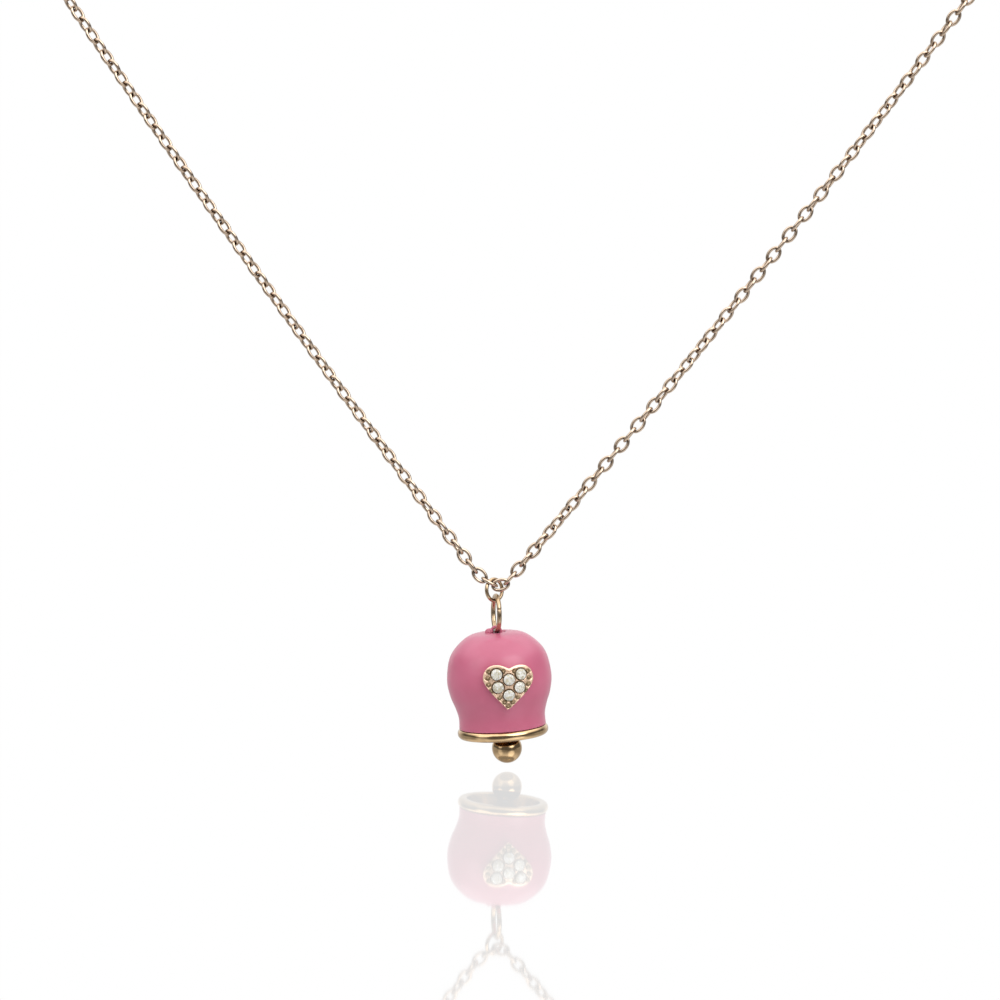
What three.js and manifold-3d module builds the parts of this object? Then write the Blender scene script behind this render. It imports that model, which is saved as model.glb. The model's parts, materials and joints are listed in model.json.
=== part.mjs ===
// An enamelled bell pendant with a heart of clear stones, hanging in the lower V of a fine cable chain.
// Millimetres, +Z up. The front of the bell faces -Y, and X runs along the V. The origin is the middle of
// the bounding box's underside, level with the lowest point of the clapper.

import * as THREE from 'three';
import { mergeVertices } from 'three/addons/utils/BufferGeometryUtils.js';
import Module from 'manifold-3d';

const wasm = await Module();
wasm.setup();

// Driving dimensions ------------------------------------------------------------------------------------

const DEG = Math.PI / 180;
const GAP = 0.03; // clearance between two pieces that rest on each other

const BELL_SEGMENTS = 32;
const SIDE_STEPS = 9; // straight steps in the profile from crown to rim
const BELL_TILT = -4 * DEG; // hung from the right of its eyelet, the bell leans to the left
const PENDANT_TURN = 10 * DEG; // bell and bail ring are turned to the right about the vertical
const ENAMEL = 0.35;
const WALL = 0.55; // metal wall behind the enamel
const CROWN_HOLE = 1.0; // radius of the opening in the enamel round the eyelet
const CROWN_EDGE = -0.02; // height of the enamel at the edge of that opening
const RIM_RADIUS = 4.85;
const RIM_TOP = -10.23;
const RIM_BOTTOM = -11.25;
const MOUTH_RADIUS = 3.9;

const HEART_THICKNESS = 0.55;
const STONE_RADIUS = 0.57;
const STONE_SEGMENTS = 8;
const POCKET_RADIUS = 0.62;
const POCKET_DEPTH = 0.44;
const BEAD_RADIUS = 0.2;

const EYELET = { radius: 0.5, wire: 0.16, baseRadius: 0.88, baseTop: -0.27 };
const STAPLE = { radius: 0.45, wire: 0.14, baseRadius: 0.62, baseDepth: 0.18 };
const BAIL = { radius: 1.89, wire: 0.26, turn: 96.5 * DEG, lean: 0 };
const CONNECTOR = { radius: 1.15, wire: 0.2, turn: 45 * DEG, lean: 10.5 * DEG };
const CONNECTOR_CENTRE = [-0.67, 0.33, -0.59]; // from the middle of the centre link
const CENTRE_TILT = 14 * DEG; // the centre link's right end is raised
const CLAPPER_RING = { radius: 0.6, wire: 0.13 };
const CLAPPER_EYE = { radius: 0.42, wire: 0.15 };
const CLAPPER_LEAN = -1.7 * DEG;
const STEM_RADIUS = 0.24;
const BALL_RADIUS = 1.6;
const BALL_DEPTH = 12.65; // ball centre below the crown

const LINK = { halfLength: 0.86, halfWidth: 0.55, corner: 0.19 }; // corner: half the diagonal of the wire
const HINGE_SPACING = 2 * LINK.corner + 0.04; // between the wires of two links that swing on each other
const RUN_SPACING = 2 * LINK.corner - 0.03; // between the wires of two links joined in one run
const CHAIN_SWING = 45; // degrees each way at a hinge between two links
const FOOT_SWING = 20; // the same at the two hinges nearest the centre link
const END_RING = { inner: 0.95, outer: 1.5, chamfer: 0.15, thickness: 0.4 };

// Each strand starts at the centre link. After its first links its lean from the vertical eases from foot to
// top, and its links turn slowly about the strand. pieces holds the number of links in each separate piece.
const LEFT = {
  side: -1,
  name: 'left',
  firstLeans: [61 * DEG, 44 * DEG],
  footLean: 36.9 * DEG,
  topLean: 33.4 * DEG,
  length: 80,
  roll: (s) => 45 * DEG * (1 - Math.exp(-s / 8)),
  pieces: [1, 1, 1, 1, 1, 1, 5, 5, 5, 5, 5, 5, 5, 5, 5, 5, 3],
};
const RIGHT = {
  side: 1,
  name: 'right',
  firstLeans: [42 * DEG],
  footLean: 40 * DEG,
  topLean: 35.7 * DEG,
  length: 84,
  roll: (s) => 20 * DEG * ((s + 3) ** 0.62 - 3 ** 0.62),
  pieces: [1, 1, 1, 1, 1, 1, 1, 1, 5, 5, 5, 5, 5, 5, 5, 5, 5, 5, 3],
};

// Materials ---------------------------------------------------------------------------------------------

const gold = new THREE.MeshStandardMaterial({ color: 0xc9a57c, roughness: 0.28, metalness: 1 });
const chainGold = new THREE.MeshStandardMaterial({ color: 0xb5947a, roughness: 0.32, metalness: 1 });
const enamel = new THREE.MeshStandardMaterial({ color: 0xd07a93, roughness: 0.2, metalness: 0 });
const crystal = new THREE.MeshStandardMaterial({ color: 0xf3f1e6, roughness: 0.05, metalness: 0 });

// Geometry helpers --------------------------------------------------------------------------------------

// A closed three.js mesh as a manifold solid. Triangles that shrink to a line at a pole are left out.
function solid(geometry) {
  const bare = geometry.clone();
  bare.deleteAttribute('normal');
  bare.deleteAttribute('uv');
  const merged = mergeVertices(bare, 1e-5);
  const index = merged.index.array;
  const triVerts = [];
  for (let i = 0; i < index.length; i += 3) {
    const [a, b, c] = index.subarray(i, i + 3);
    if (a !== b && b !== c && c !== a) triVerts.push(a, b, c);
  }
  const vertProperties = merged.attributes.position.array;
  const mesh = new wasm.Mesh({ numProp: 3, vertProperties, triVerts: new Uint32Array(triVerts) });
  return new wasm.Manifold(mesh);
}

function geometryOf(manifold) {
  const { vertProperties, triVerts } = manifold.getMesh();
  const geometry = new THREE.BufferGeometry();
  geometry.setAttribute('position', new THREE.BufferAttribute(vertProperties, 3));
  geometry.setIndex(new THREE.BufferAttribute(triVerts, 1));
  geometry.computeVertexNormals();
  return geometry;
}

// Turns a closed profile of [radius, height] pairs, drawn either way round, about Z.
function turned(profile, segments) {
  const points = profile.map(([r, z]) => new THREE.Vector2(r, z));
  if (THREE.ShapeUtils.area(points) < 0) points.reverse();
  return new THREE.LatheGeometry(points, segments).rotateX(Math.PI / 2);
}

// A wire ring in the XZ plane with its centre on the origin.
function wireRing({ radius, wire }, segments = 16, sides = 6) {
  return new THREE.TorusGeometry(radius, wire, sides, segments).rotateX(Math.PI / 2);
}

// A wire loop standing on a round base. The base's face away from the loop lies at baseFace, and the loop's
// centre at loopCentre; a loop with a negative reach hangs below its base.
function loopOnBase(loop, baseRadius, baseFace, baseDepth, loopCentre) {
  const up = Math.sign(loopCentre - baseFace);
  const base = new THREE.CylinderGeometry(baseRadius, baseRadius, baseDepth, 16).rotateX(Math.PI / 2);
  base.translate(0, 0, baseFace + (up * baseDepth) / 2);
  const ring = wireRing(loop).translate(0, 0, loopCentre);
  const room = 3 * loop.radius;
  const keep = new THREE.BoxGeometry(2 * room, 2 * room, room);
  keep.translate(0, 0, baseFace + (up * (baseDepth + room)) / 2);
  return geometryOf(solid(ring).intersect(solid(keep)).add(solid(base)));
}

// An oval link in the XY plane, long axis X, made of square wire set on its corner.
function ovalLink(segments = 8) {
  const geometry = new THREE.TorusGeometry(1, LINK.corner, 4, segments);
  const position = geometry.attributes.position;
  const normal = new THREE.Vector2();
  for (let i = 0; i < position.count; i++) {
    const x = position.getX(i);
    const y = position.getY(i);
    const angle = Math.atan2(y, x);
    const outwards = Math.hypot(x, y) - 1;
    normal.set(Math.cos(angle) / LINK.halfLength, Math.sin(angle) / LINK.halfWidth).normalize();
    position.setX(i, LINK.halfLength * Math.cos(angle) + outwards * normal.x);
    position.setY(i, LINK.halfWidth * Math.sin(angle) + outwards * normal.y);
  }
  return geometry;
}

// The part ----------------------------------------------------------------------------------------------

const pendant = new THREE.Group();
const hinges = [];

function piece(name, geometry, material, parent = pendant) {
  const mesh = new THREE.Mesh(geometry, material);
  mesh.name = name;
  parent.add(mesh);
  return mesh;
}

// Records the hinge that carries a moving body: a point on its axis, the axis and the swing each way.
function hinge(name, parent, child, point, axis, low, high) {
  hinges.push({ name, parent, child, point: point.toArray(), axis: axis.toArray(), low, high });
}

// Chain -------------------------------------------------------------------------------------------------

const across = new THREE.Vector3(0, 1, 0);

// The point of the centre link's oval at which a pull is carried.
function bearingPoint(pull) {
  const level = pull.clone().applyAxisAngle(across, CENTRE_TILT);
  const angle = Math.atan2(level.z * LINK.halfWidth, level.x * LINK.halfLength);
  const point = new THREE.Vector3(LINK.halfLength * Math.cos(angle), 0, LINK.halfWidth * Math.sin(angle));
  return point.applyAxisAngle(across, -CENTRE_TILT);
}

// The lean of a strand's n-th link, which starts at the distance s from the strand's foot.
function leanAt(strand, s, n) {
  const { firstLeans, footLean, topLean, length } = strand;
  return firstLeans[n - 1] ?? THREE.MathUtils.lerp(footLean, topLean, s / length);
}

// Directions of a strand at the distance s from its foot, with its n-th link's own turn.
function linkAxes(strand, s, n) {
  const lean = leanAt(strand, s, n);
  const along = new THREE.Vector3(strand.side * Math.sin(lean), 0, Math.cos(lean));
  const inPlane = new THREE.Vector3(-strand.side * Math.cos(lean), 0, Math.sin(lean));
  const roll = strand.roll(s) + ((n % 2) * Math.PI) / 2;
  const width = inPlane.multiplyScalar(Math.cos(roll)).addScaledVector(across, Math.sin(roll));
  return { along, width, normal: new THREE.Vector3().crossVectors(along, width) };
}

function placed(geometry, { along, width, normal }, centre) {
  const matrix = new THREE.Matrix4().makeBasis(along, width, normal).setPosition(centre);
  return geometry.applyMatrix4(matrix);
}

// A flat-sided ring in the XY plane that ends a strand. Its inside comes to a ridge that sits in a link.
function endRing() {
  const half = END_RING.thickness / 2;
  const flat = END_RING.inner + END_RING.chamfer;
  const profile = [
    [END_RING.inner, 0],
    [flat, -half],
    [END_RING.outer, -half],
    [END_RING.outer, half],
    [flat, half],
    [END_RING.inner, 0],
  ];
  return turned(profile, 16);
}

// Hinges along a strand swing alternately in the plane of the V and out of it. Every second pair turns the
// other way, so that a strand with all its hinges at one limit folds to and fro instead of curling up.
function buildStrand(strand) {
  let axes = linkAxes(strand, 0, 1);
  let tip = bearingPoint(axes.along);
  let tipAxis = new THREE.Vector3(-axes.along.z, 0, axes.along.x);
  let parent = 'centre_link';
  let s = 0;
  let n = 1;
  strand.pieces.forEach((count, i) => {
    const name = `${strand.name}_${count > 1 ? 'run' : 'link'}_${String(i + 1).padStart(2, '0')}`;
    const sense = i % 4 < 2 ? strand.side : -strand.side;
    const swing = i < 2 ? FOOT_SWING : CHAIN_SWING;
    hinge(`${name}_swing`, parent, name, tip, tipAxis.multiplyScalar(sense), -swing, swing);
    let body = null;
    for (let k = 0; k < count; k++) {
      axes = linkAxes(strand, s, n);
      const inset = k === 0 ? HINGE_SPACING : RUN_SPACING;
      const centre = tip.clone().addScaledVector(axes.along, LINK.halfLength - inset);
      const link = placed(ovalLink(), axes, centre);
      body = body ? body.add(solid(link)) : solid(link);
      tip = centre.clone().addScaledVector(axes.along, LINK.halfLength);
      s += 2 * LINK.halfLength - inset;
      n += 1;
    }
    piece(name, geometryOf(body), chainGold);
    tipAxis = axes.width;
    parent = name;
  });
  axes = linkAxes(strand, s, n);
  const centre = tip.clone().addScaledVector(axes.along, END_RING.inner - LINK.corner - GAP);
  const name = `${strand.name}_end_ring`;
  hinge(`${name}_swing`, parent, name, tip, tipAxis, -CHAIN_SWING, CHAIN_SWING);
  piece(name, placed(endRing(), axes, centre), chainGold);
}

const centreLink = ovalLink(16).rotateX(Math.PI / 2).rotateY(-CENTRE_TILT);
piece('centre_link', centreLink, chainGold);
buildStrand(LEFT);
buildStrand(RIGHT);

// Rings between chain and bell --------------------------------------------------------------------------

const vertical = new THREE.Vector3(0, 0, 1);

// A round wire ring hung by its top. Its plane holds the hanging line, which leans from the vertical in the
// plane of the V, and a direction across it, turned from X. Returns the place of its foot and that direction.
function hangRing(name, { radius, wire, turn, lean }, top, segments) {
  const down = new THREE.Vector3(Math.sin(lean), 0, -Math.cos(lean));
  const level = new THREE.Vector3(Math.cos(turn), Math.sin(turn), 0);
  level.addScaledVector(down, -level.dot(down)).normalize();
  const up = down.clone().negate();
  const matrix = new THREE.Matrix4().makeBasis(level, new THREE.Vector3().crossVectors(up, level), up);
  matrix.setPosition(top.clone().addScaledVector(down, radius));
  piece(name, wireRing({ radius, wire }, segments).applyMatrix4(matrix), gold);
  return { foot: top.clone().addScaledVector(down, 2 * radius), level };
}

// The connector ring goes round the chain where the first link of the left strand meets the centre link.
const connectorDown = new THREE.Vector3(Math.sin(CONNECTOR.lean), 0, -Math.cos(CONNECTOR.lean));
const connectorCentre = new THREE.Vector3(...CONNECTOR_CENTRE);
const connectorTop = connectorCentre.clone().addScaledVector(connectorDown, -CONNECTOR.radius);
const connector = hangRing('connector_ring', CONNECTOR, connectorTop, 16);
hinge('connector_swing', 'centre_link', 'connector_ring', connectorTop, connector.level, -6, 6);

const bailTop = connector.foot.clone().addScaledVector(vertical, CONNECTOR.wire + BAIL.wire + GAP);
const bail = hangRing('bail_ring', BAIL, bailTop, 24);
hinge('bail_swing', 'connector_ring', 'bail_ring', connector.foot, connector.level, -35, 35);

// Bell --------------------------------------------------------------------------------------------------

// The bell's own frame: Z is its axis and its crown lies at the origin. The bail ring's wire passes through
// the eyelet at bailInEyelet, a little up and to the right in its opening.
const bailInEyelet = new THREE.Vector3(0.04, 0, 0.03);
const bell = new THREE.Group();
bell.rotation.set(0, BELL_TILT, PENDANT_TURN, 'YZX');
bell.position.copy(bail.foot).sub(bailInEyelet.clone().applyEuler(bell.rotation));
pendant.add(bell);
const bellAxisY = new THREE.Vector3(0, 1, 0).applyEuler(bell.rotation);
const bellAxisX = new THREE.Vector3(1, 0, 0).applyEuler(bell.rotation);
hinge('bell_swing', 'bail_ring', 'bell', bail.foot, bellAxisY, -35, 35);

function inPendant(point) {
  return point.clone().applyEuler(bell.rotation).add(bell.position);
}

// Outside of the enamel, from the opening round the eyelet down to the rim.
const bellSide = new THREE.SplineCurve(
  [
    [CROWN_HOLE, CROWN_EDGE],
    [2.9, -0.32],
    [4.4, -1.45],
    [5.23, -2.8],
    [5.58, -4.95],
    [5.35, -6.6],
    [4.88, -7.95],
    [4.61, -9.05],
    [4.63, RIM_TOP + GAP],
  ].map(([r, z]) => new THREE.Vector2(r, z)),
);

// The bell's side moved outwards along its normal, as [radius, height] pairs from crown to rim.
function sideAt(offset) {
  return Array.from({ length: SIDE_STEPS + 1 }, (_, i) => {
    const point = bellSide.getPoint(i / SIDE_STEPS);
    const tangent = bellSide.getTangent(i / SIDE_STEPS);
    return [point.x - tangent.y * offset, point.y + tangent.x * offset];
  });
}

function enamelCoat() {
  const outside = sideAt(0);
  const inside = sideAt(-ENAMEL).reverse();
  const lip = inside[0];
  const foot = [lip[0], RIM_TOP + GAP];
  const collar = [CROWN_HOLE, inside.at(-1)[1]];
  return turned([...outside, foot, ...inside.slice(1, -1), collar, outside[0]], BELL_SEGMENTS);
}

function bellBody() {
  const outside = sideAt(-ENAMEL - GAP).slice(1, -1);
  const inside = sideAt(-ENAMEL - GAP - WALL).reverse().slice(1, -1);
  const crown = CROWN_EDGE - ENAMEL - GAP;
  const shoulder = outside.at(-1)[0];
  const bevel = 0.12;
  const profile = [
    [0, crown],
    [CROWN_HOLE, crown],
    ...outside,
    [shoulder, RIM_TOP],
    [4.62, RIM_TOP],
    [RIM_RADIUS - 0.03, RIM_TOP - 0.22],
    [RIM_RADIUS, (RIM_TOP + RIM_BOTTOM) / 2],
    [RIM_RADIUS - 0.05, RIM_BOTTOM + 0.2],
    [RIM_RADIUS - 0.25, RIM_BOTTOM],
    [MOUTH_RADIUS + bevel, RIM_BOTTOM],
    [MOUTH_RADIUS, RIM_BOTTOM + bevel],
    [MOUTH_RADIUS, RIM_TOP],
    ...inside,
    [CROWN_HOLE, crown - WALL],
    [0, crown - WALL],
  ];
  return turned(profile, BELL_SEGMENTS);
}

piece('bell_body', bellBody(), gold, bell);
piece('enamel_coat', enamelCoat(), enamel, bell);

const crownTop = CROWN_EDGE - ENAMEL; // the enamel's underside at the crown
const eyeletDepth = EYELET.baseTop - crownTop;
const eyelet = loopOnBase(EYELET, EYELET.baseRadius, crownTop, eyeletDepth, 0);
piece('top_eyelet', eyelet, enamel, bell);

// Heart with its stones ---------------------------------------------------------------------------------

// The heart before its own turn, in the plane of the bell's X and Z. Its notch and tip are on X = 0.
const HEART = {
  halfWidth: 2.5,
  lobeX: 1.2,
  top: -2.98,
  notch: -3.32,
  widest: -4.32,
  tip: -7.45,
  middle: -5,
};
const HEART_TURN = 4 * DEG; // about its middle, clockwise as seen from the front

function heartShape() {
  const { halfWidth, lobeX, top, notch, widest, tip } = HEART;
  const shape = new THREE.Shape();
  shape.moveTo(0, notch);
  for (const side of [1, -1]) {
    const half = [
      [0.33, notch + 0.1, 0.6, top, lobeX, top],
      [1.97, top, halfWidth, top - 0.6, halfWidth, widest],
      [halfWidth, widest - 0.8, 1.27, widest - 1.9, 0.12, tip],
    ];
    if (side > 0) {
      half.forEach(([a, b, c, d, e, f]) => shape.bezierCurveTo(a, b, c, d, e, f));
      shape.lineTo(-0.12, tip);
    } else {
      const back = [
        [-1.27, widest - 1.9, -halfWidth, widest - 0.8, -halfWidth, widest],
        [-halfWidth, top - 0.6, -1.97, top, -lobeX, top],
        [-0.6, top, -0.33, notch + 0.1, 0, notch],
      ];
      back.forEach(([a, b, c, d, e, f]) => shape.bezierCurveTo(a, b, c, d, e, f));
    }
  }
  return shape;
}

// Where a place of the unturned heart comes to lie, on the front of the bell.
function onHeart([x, z], offset) {
  const place = new THREE.Vector2(x, z).rotateAround(new THREE.Vector2(0, HEART.middle), -HEART_TURN);
  return onFront(place.x, place.y, offset);
}

// A solid bell whose side is raised by an offset.
function raisedBell(offset) {
  const side = sideAt(offset);
  return solid(turned([[0, side[0][1]], ...side, [0, side.at(-1)[1]]], BELL_SEGMENTS));
}

// The point and outward normal of the raised front of the bell at the place (x, z).
function onFront(x, z, offset) {
  let low = 0;
  let high = 1;
  for (let i = 0; i < 40; i++) {
    const middle = (low + high) / 2;
    if (bellSide.getPoint(middle).y > z) low = middle;
    else high = middle;
  }
  const side = bellSide.getPoint(low);
  const tangent = bellSide.getTangent(low);
  const turn = Math.asin(x / side.x);
  const outwards = new THREE.Vector3(-tangent.y * Math.sin(turn), tangent.y * Math.cos(turn), tangent.x);
  const surface = new THREE.Vector3(x, -side.x * Math.cos(turn), z);
  return { point: surface.addScaledVector(outwards, offset), normal: outwards };
}

function standOn(geometry, { point, normal }) {
  const turn = new THREE.Quaternion().setFromUnitVectors(vertical, normal);
  return geometry.applyQuaternion(turn).translate(point.x, point.y, point.z);
}

const STONES = [
  [-1.2, -3.91],
  [1.2, -3.91],
  [0, -4.43],
  [-1.06, -5.2],
  [1.06, -5.2],
  [0, -5.96],
];
const BEADS = [
  [1.94, -3.6],
  [2.12, -4.22],
  [2.0, -4.9],
  [1.66, -5.55],
  [0.9, -6.27],
  [0.4, -6.72],
  [0.56, -3.66],
];

function heartPlate() {
  const inner = 3.6; // the cutting prism reaches from inside the wall to well in front of the bell
  const depth = 3;
  const prism = new THREE.ExtrudeGeometry(heartShape(), { depth, bevelEnabled: false, curveSegments: 4 });
  prism.translate(0, -HEART.middle, inner).rotateZ(-HEART_TURN);
  prism.translate(0, HEART.middle, 0).rotateX(Math.PI / 2);
  let plate = solid(prism).intersect(raisedBell(HEART_THICKNESS)).subtract(raisedBell(GAP));
  for (const place of STONES) {
    const pocket = new THREE.CylinderGeometry(POCKET_RADIUS, POCKET_RADIUS, 2 * POCKET_DEPTH, 12);
    pocket.rotateX(Math.PI / 2);
    plate = plate.subtract(solid(standOn(pocket, onHeart(place, HEART_THICKNESS))));
  }
  const sides = BEADS.flatMap(([x, z]) => [[x, z], [-x, z]]);
  for (const place of [...sides, [0, -7.05]]) {
    const bead = new THREE.SphereGeometry(BEAD_RADIUS, 6, 4).rotateX(Math.PI / 2);
    plate = plate.add(solid(standOn(bead, onHeart(place, HEART_THICKNESS))));
  }
  return geometryOf(plate);
}

// A round brilliant-cut stone, table up, with its girdle on the origin.
function brilliant() {
  const profile = [
    [0, -0.33],
    [STONE_RADIUS, -0.04],
    [STONE_RADIUS, 0.03],
    [0.6 * STONE_RADIUS, 0.2],
    [0, 0.2],
  ];
  return turned(profile, STONE_SEGMENTS);
}

piece('heart_plate', heartPlate(), gold, bell);
STONES.forEach((place, i) => {
  piece(`crystal_${i + 1}`, standOn(brilliant(), onHeart(place, HEART_THICKNESS)), crystal, bell);
});

// Clapper -----------------------------------------------------------------------------------------------

const crownUnderside = crownTop - GAP - WALL - GAP;
const stapleCentre = crownUnderside - STAPLE.baseDepth - 0.2;
const staple = loopOnBase(STAPLE, STAPLE.baseRadius, crownUnderside, STAPLE.baseDepth, stapleCentre);
piece('clapper_staple', staple, gold, bell);

const stapleFoot = new THREE.Vector3(0, 0, stapleCentre - STAPLE.radius);
const ringTop = stapleFoot.z + STAPLE.wire + CLAPPER_RING.wire + GAP;
const ringFoot = new THREE.Vector3(0, 0, ringTop - 2 * CLAPPER_RING.radius);
const clapperRing = piece('clapper_ring', wireRing(CLAPPER_RING, 12), gold, bell);
clapperRing.position.z = ringTop - CLAPPER_RING.radius;
clapperRing.rotation.z = Math.PI / 2;
hinge('clapper_ring_swing', 'bell', 'clapper_ring', inPendant(stapleFoot), bellAxisX, -10, 10);

// The clapper's own frame starts at the wire of the clapper ring and hangs down.
const clapper = new THREE.Group();
clapper.position.copy(ringFoot);
clapper.rotation.y = CLAPPER_LEAN;
bell.add(clapper);
hinge('clapper_swing', 'clapper_ring', 'clapper', inPendant(ringFoot), bellAxisY, -8, 11);

function clapperStem(ballTop) {
  const eyeTop = CLAPPER_RING.wire + CLAPPER_EYE.wire + GAP;
  const eyeCentre = eyeTop - CLAPPER_EYE.radius;
  const stemTop = eyeCentre - CLAPPER_EYE.radius;
  const length = stemTop - ballTop;
  const stem = new THREE.CylinderGeometry(STEM_RADIUS, STEM_RADIUS, length, 8).rotateX(Math.PI / 2);
  stem.translate(0, 0, stemTop - length / 2);
  const eye = wireRing(CLAPPER_EYE, 12).translate(0, 0, eyeCentre);
  return geometryOf(solid(eye).add(solid(stem)));
}

const ballCentre = -BALL_DEPTH - ringFoot.z;
piece('clapper_stem', clapperStem(ballCentre + BALL_RADIUS + GAP), gold, clapper);
const ball = new THREE.SphereGeometry(BALL_RADIUS, 16, 10).rotateX(Math.PI / 2).translate(0, 0, ballCentre);
piece('clapper_ball', ball, gold, clapper);

// The origin goes to the middle of the bounding box's underside.
const box = new THREE.Box3().setFromObject(pendant, true);
const middle = box.getCenter(new THREE.Vector3());
pendant.position.set(-middle.x, -middle.y, -box.min.z);
pendant.userData.hinges = hinges;

export default pendant;
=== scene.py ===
"""The fine surface of an enamelled bell pendant on a cable chain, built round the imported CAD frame.

Metres and the row's own frame throughout; the small parts are drawn in millimetres and scaled when they
are placed. Every piece is placed by the hinges, boxes and vertices of the CAD frame.
"""

import json
import math

import bmesh
import bpy
import numpy as np
from mathutils import Matrix, Quaternion, Vector

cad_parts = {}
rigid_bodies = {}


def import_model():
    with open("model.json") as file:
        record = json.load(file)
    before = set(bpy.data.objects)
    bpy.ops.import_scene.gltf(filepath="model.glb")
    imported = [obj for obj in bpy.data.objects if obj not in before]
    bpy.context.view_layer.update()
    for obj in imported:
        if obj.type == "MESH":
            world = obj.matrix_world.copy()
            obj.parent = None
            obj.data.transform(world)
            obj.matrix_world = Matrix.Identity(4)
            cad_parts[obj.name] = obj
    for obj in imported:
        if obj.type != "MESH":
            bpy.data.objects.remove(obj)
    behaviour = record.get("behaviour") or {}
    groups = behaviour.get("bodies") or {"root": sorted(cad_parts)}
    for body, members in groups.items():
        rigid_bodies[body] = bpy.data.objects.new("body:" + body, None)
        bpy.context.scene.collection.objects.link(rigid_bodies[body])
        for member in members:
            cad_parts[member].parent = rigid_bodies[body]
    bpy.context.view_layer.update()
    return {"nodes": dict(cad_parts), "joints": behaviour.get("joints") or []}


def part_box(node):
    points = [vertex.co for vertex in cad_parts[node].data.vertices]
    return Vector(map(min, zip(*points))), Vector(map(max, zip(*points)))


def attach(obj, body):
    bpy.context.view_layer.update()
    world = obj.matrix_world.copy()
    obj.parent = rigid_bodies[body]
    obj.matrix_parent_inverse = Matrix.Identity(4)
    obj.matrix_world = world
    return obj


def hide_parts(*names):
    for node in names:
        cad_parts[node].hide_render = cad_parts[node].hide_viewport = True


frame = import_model()

MM = 0.001
TAU = 2 * math.pi

# Sizes, in millimetres -------------------------------------------------------------------------------

LINK_HALF_LENGTH = 0.86
LINK_HALF_WIDTH = 0.55
LINK_WIRE = 0.172
HINGED_PITCH = 1.30  # from tip to tip where a link swings on the one before
JOINED_PITCH = 1.37  # from tip to tip inside a run

END_RING = [(0.95, 0), (1.1, -0.2), (1.5, -0.2), (1.5, 0.2), (1.1, 0.2)]  # its section, [radius, height]

CENTRE_TILT = math.radians(14)  # the centre link's right end is raised

CONNECTOR_RADIUS = 1.15
CONNECTOR_WIRE = 0.195
BAIL_RADIUS = 1.89
BAIL_WIRE = 0.255
CLAPPER_RING_RADIUS = 0.6
CLAPPER_RING_WIRE = 0.13
RING_GAP = 0.03  # left open where the two ends of a jump ring's wire meet
CLAPPER_EYE_RADIUS = 0.42
CLAPPER_EYE_WIRE = 0.15
STAPLE_RADIUS = 0.45
STAPLE_WIRE = 0.14
STAPLE_BASE_RADIUS = 0.62
STAPLE_BASE_DEPTH = 0.18
STEM_RADIUS = 0.24
BALL_RADIUS = 1.6
BALL_SEAT = 0.42  # radius of the flat on which the stem stands
EYELET_RADIUS = 0.5
EYELET_WIRE = 0.16
RUN_CENTRE = (-0.74, 0, -0.06)  # the thick run of enamel at the eyelet's left foot
RUN_RADII = (0.47, 0.45, 0.46)

CROWN_LEVEL = -0.02  # top of the enamel, in the bell's own frame
CROWN_HOLE = 1.0  # radius of the opening in the enamel round the eyelet
RIM_TOP = -10.23
RIM_BOTTOM = -11.25
RIM_RADIUS = 4.85
MOUTH_RADIUS = 3.9
ENAMEL = 0.35
WALL = 0.55  # metal behind the enamel
GAP = 0.03  # clearance between two pieces that rest on each other

# Outside of the enamel as [radius, height] from crown to rim.
BELL_SIDE = [
    (CROWN_HOLE, CROWN_LEVEL),
    (2.9, -0.32),
    (4.4, -1.45),
    (5.23, -2.8),
    (5.58, -4.95),
    (5.35, -6.6),
    (4.88, -7.95),
    (4.61, -9.05),
    (4.63, -10.2),
]

# The heart before its own turn, in the plane of the bell's X and Z. Its notch and tip are on X = 0.
HEART_THICKNESS = 0.55
HEART_HALF_WIDTH = 2.5
HEART_LOBE_X = 1.2
HEART_TOP = -2.98
HEART_NOTCH = -3.32
HEART_WIDEST = -4.32
HEART_TIP = -7.45
HEART_MIDDLE = (0.0, -5.0)
HEART_TURN = math.radians(4)  # about its middle, clockwise as seen from the front
STONES = [
    (-1.2, -3.91),
    (1.2, -3.91),
    (0, -4.43),
    (-1.06, -5.2),
    (1.06, -5.2),
    (0, -5.96),
]
STONE_RADIUS = 0.59
POCKET_RADIUS = 0.6  # the seat round a stone, darkened with painted shade
# Beads on the right half; each has its twin on the left, and one more stands at the tip.
BEADS = [
    (1.9, -3.7),
    (2.04, -4.3),
    (1.95, -4.93),
    (1.68, -5.52),
    (0.88, -6.2),
    (0.38, -6.68),
    (0.57, -3.62),
]
TIP_BEAD = (0, -7.05)
BEAD_RADIUS = 0.2


# Node helpers ----------------------------------------------------------------------------------------


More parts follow.
